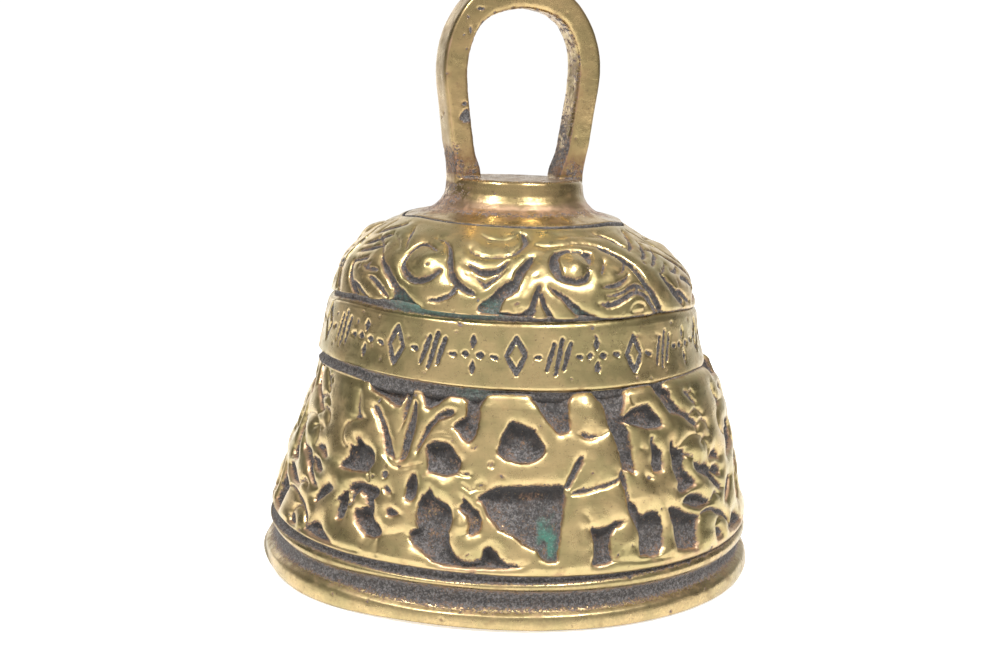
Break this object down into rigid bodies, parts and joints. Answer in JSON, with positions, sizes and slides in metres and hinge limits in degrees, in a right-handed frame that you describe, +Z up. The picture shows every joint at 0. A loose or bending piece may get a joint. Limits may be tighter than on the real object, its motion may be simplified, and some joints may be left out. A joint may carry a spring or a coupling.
{
  "type": "hand bell",
  "caption": "Cast brass hand bell with a flat loop handle on a coved foot, moulded lip, figured waist and shoulder, and a ball clapper hung on a link under the crown.",
  "frame": {"origin": "centre of the mouth, on the plane of the lip", "axes": "+Z up along the bell's axis to the top of the loop; the loop handle lies in the XZ plane and the clapper's main swing is in that plane"},
  "size_m": [0.076, 0.076, 0.0885],
  "materials": {
    "cast_brass": "cast, worn bright on the raised figures and dark in the recesses",
    "handle_brass": "cast, hand-polished, with pits and scratches",
    "eyebolt_steel": "dull zinc",
    "washer_steel": "dull zinc",
    "nut_steel": "dull zinc",
    "link_steel": "drawn wire, oxidised",
    "rod_iron": "forged, darkened",
    "ball_brass": "turned, tarnished",
    "burr_steel": "dull"
  },
  "bodies": {
    "bell": {"bell_body": "cast_brass", "handle": "handle_brass", "eyebolt": "eyebolt_steel", "crown_washer": "washer_steel", "crown_nut": "nut_steel"},
    "link": {"clapper_link": "link_steel"},
    "clapper": {"clapper_rod": "rod_iron", "clapper_ball": "ball_brass", "clapper_burr": "burr_steel"}
  },
  "joints": [
    {"name": "link_swing", "type": "hinge", "parent": "bell", "child": "link", "pos_m": [0, 0, 0.0389], "axis": [0, 1, 0], "range_deg": [-50, 50]},
    {"name": "clapper_swing", "type": "hinge", "parent": "link", "child": "clapper", "pos_m": [0, 0, 0.0322], "axis": [1, 0, 0], "range_deg": [-18, 18]}
  ]
}
